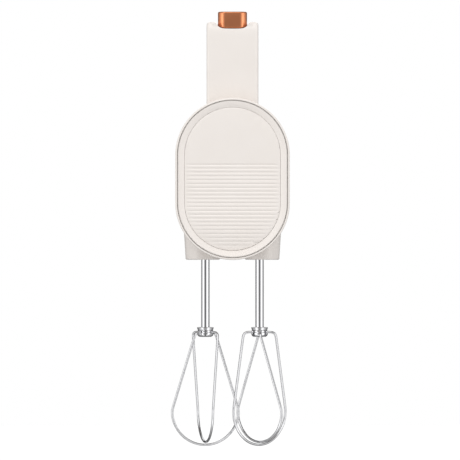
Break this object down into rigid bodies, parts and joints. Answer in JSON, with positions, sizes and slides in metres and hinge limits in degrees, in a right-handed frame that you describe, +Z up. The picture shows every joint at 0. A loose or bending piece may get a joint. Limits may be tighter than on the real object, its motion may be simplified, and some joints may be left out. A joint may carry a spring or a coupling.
{
  "type": "hand mixer",
  "caption": "Hand mixer with a loop handle, a stadium-shaped nose with a grooved panel, a sliding speed control and a pair of wire beaters.",
  "frame": {"origin": "midway between the two beaters' outer sides and the nose and heel, at the beaters' tips", "axes": "+Z up, from the beater tips to the handle; the nose faces -Y and the heel +Y; +X is to the right when the nose is faced"},
  "size_m": [0.093, 0.192, 0.3414],
  "materials": {
    "housing_plastic": "warm white moulded plastic, fine satin gloss",
    "copper_plating": "rose copper plating, brushed lightly along the handle",
    "chrome_wire": "polished chrome on steel",
    "turned_steel": "turned, lightly oiled",
    "grey_rubber": "matt moulded rubber",
    "ivory_nylon": "natural nylon",
    "dark_plastic": "matt",
    "cast_aluminium": "as cast",
    "lamination_steel": "stacked sheet, varnished",
    "winding_copper": "enamelled wire",
    "sintered_bronze": "oil-filled, dull",
    "carbon": "pressed graphite",
    "circuit_board": "solder mask"
  },
  "bodies": {
    "housing": {"upper_housing": "housing_plastic", "lower_housing": "housing_plastic", "handle_cover": "housing_plastic", "nose_bezel": "housing_plastic", "nose_panel": "housing_plastic", "heel_cap": "housing_plastic", "heel_pad": "grey_rubber", "heel_screw_lower": "turned_steel", "heel_screw_upper": "turned_steel", "cord_gland": "grey_rubber", "speed_switch": "ivory_nylon", "control_board": "circuit_board", "gear_frame": "cast_aluminium", "frame_screw_front": "turned_steel", "frame_screw_rear": "turned_steel", "thrust_washer_left": "turned_steel", "thrust_washer_right": "turned_steel", "spindle_bush_left": "sintered_bronze", "spindle_bush_right": "sintered_bronze", "front_bearing": "sintered_bronze", "rear_bearing": "sintered_bronze", "rear_bracket": "ivory_nylon", "stator_core": "lamination_steel", "field_coil_lower": "winding_copper", "field_coil_upper": "winding_copper", "brush_holder_left": "sintered_bronze", "brush_holder_right": "sintered_bronze", "carbon_brush_left": "carbon", "carbon_brush_right": "carbon", "stator_screw_lower": "turned_steel", "stator_screw_upper": "turned_steel"},
    "armature": {"armature_shaft": "turned_steel", "armature_core": "lamination_steel", "armature_winding_front": "winding_copper", "armature_winding_rear": "winding_copper", "commutator": "sintered_bronze", "cooling_fan": "ivory_nylon"},
    "spindle_left": {"spindle_gear_left": "ivory_nylon"},
    "spindle_right": {"spindle_gear_right": "ivory_nylon"},
    "beater_left": {"beater_shaft_left": "chrome_wire", "beater_hub_left": "chrome_wire", "beater_wire_left_a": "chrome_wire", "beater_wire_left_b": "chrome_wire"},
    "beater_right": {"beater_shaft_right": "chrome_wire", "beater_hub_right": "chrome_wire", "beater_wire_right_a": "chrome_wire", "beater_wire_right_b": "chrome_wire"},
    "speed_slider": {"slider_carriage": "dark_plastic"},
    "speed_button": {"speed_knob": "copper_plating", "knob_stem": "dark_plastic"},
    "ejector": {"eject_plate": "ivory_nylon", "eject_rod": "turned_steel", "eject_spring": "turned_steel"}
  },
  "joints": [
    {"name": "armature_spin", "type": "hinge", "parent": "housing", "child": "armature", "pos_m": [0, -0.052, 0.196], "axis": [0, 1, 0], "continuous": true},
    {"name": "spindle_spin_left", "type": "hinge", "parent": "housing", "child": "spindle_left", "pos_m": [-0.02135, -0.052, 0.196], "axis": [0, 0, 1], "continuous": true},
    {"name": "spindle_spin_right", "type": "hinge", "parent": "housing", "child": "spindle_right", "pos_m": [0.02135, -0.052, 0.196], "axis": [0, 0, 1], "continuous": true},
    {"name": "beater_pull_left", "type": "slide", "parent": "spindle_left", "child": "beater_left", "axis": [0, 0, -1], "range_m": [0, 0.062]},
    {"name": "beater_pull_right", "type": "slide", "parent": "spindle_right", "child": "beater_right", "axis": [0, 0, -1], "range_m": [0, 0.062]},
    {"name": "speed_slide", "type": "slide", "parent": "housing", "child": "speed_slider", "axis": [0, 1, 0], "range_m": [0, 0.022]},
    {"name": "eject_press", "type": "slide", "parent": "housing", "child": "ejector", "axis": [0, 0, -1], "range_m": [0, 0.0035], "stiffness_N_per_m": 300, "springref_m": -0.004, "deforming": ["eject_spring"]},
    {"name": "button_press", "type": "slide", "parent": "speed_slider", "child": "speed_button", "axis": [0, 0, -1], "range_m": [0, 0.0035]}
  ],
  "couplings": [
    {"joint": "spindle_spin_left", "follows": "armature_spin", "ratio": 0.074074},
    {"joint": "spindle_spin_right", "follows": "armature_spin", "ratio": -0.074074},
    {"joint": "button_press", "follows": "eject_press", "ratio": 1}
  ]
}
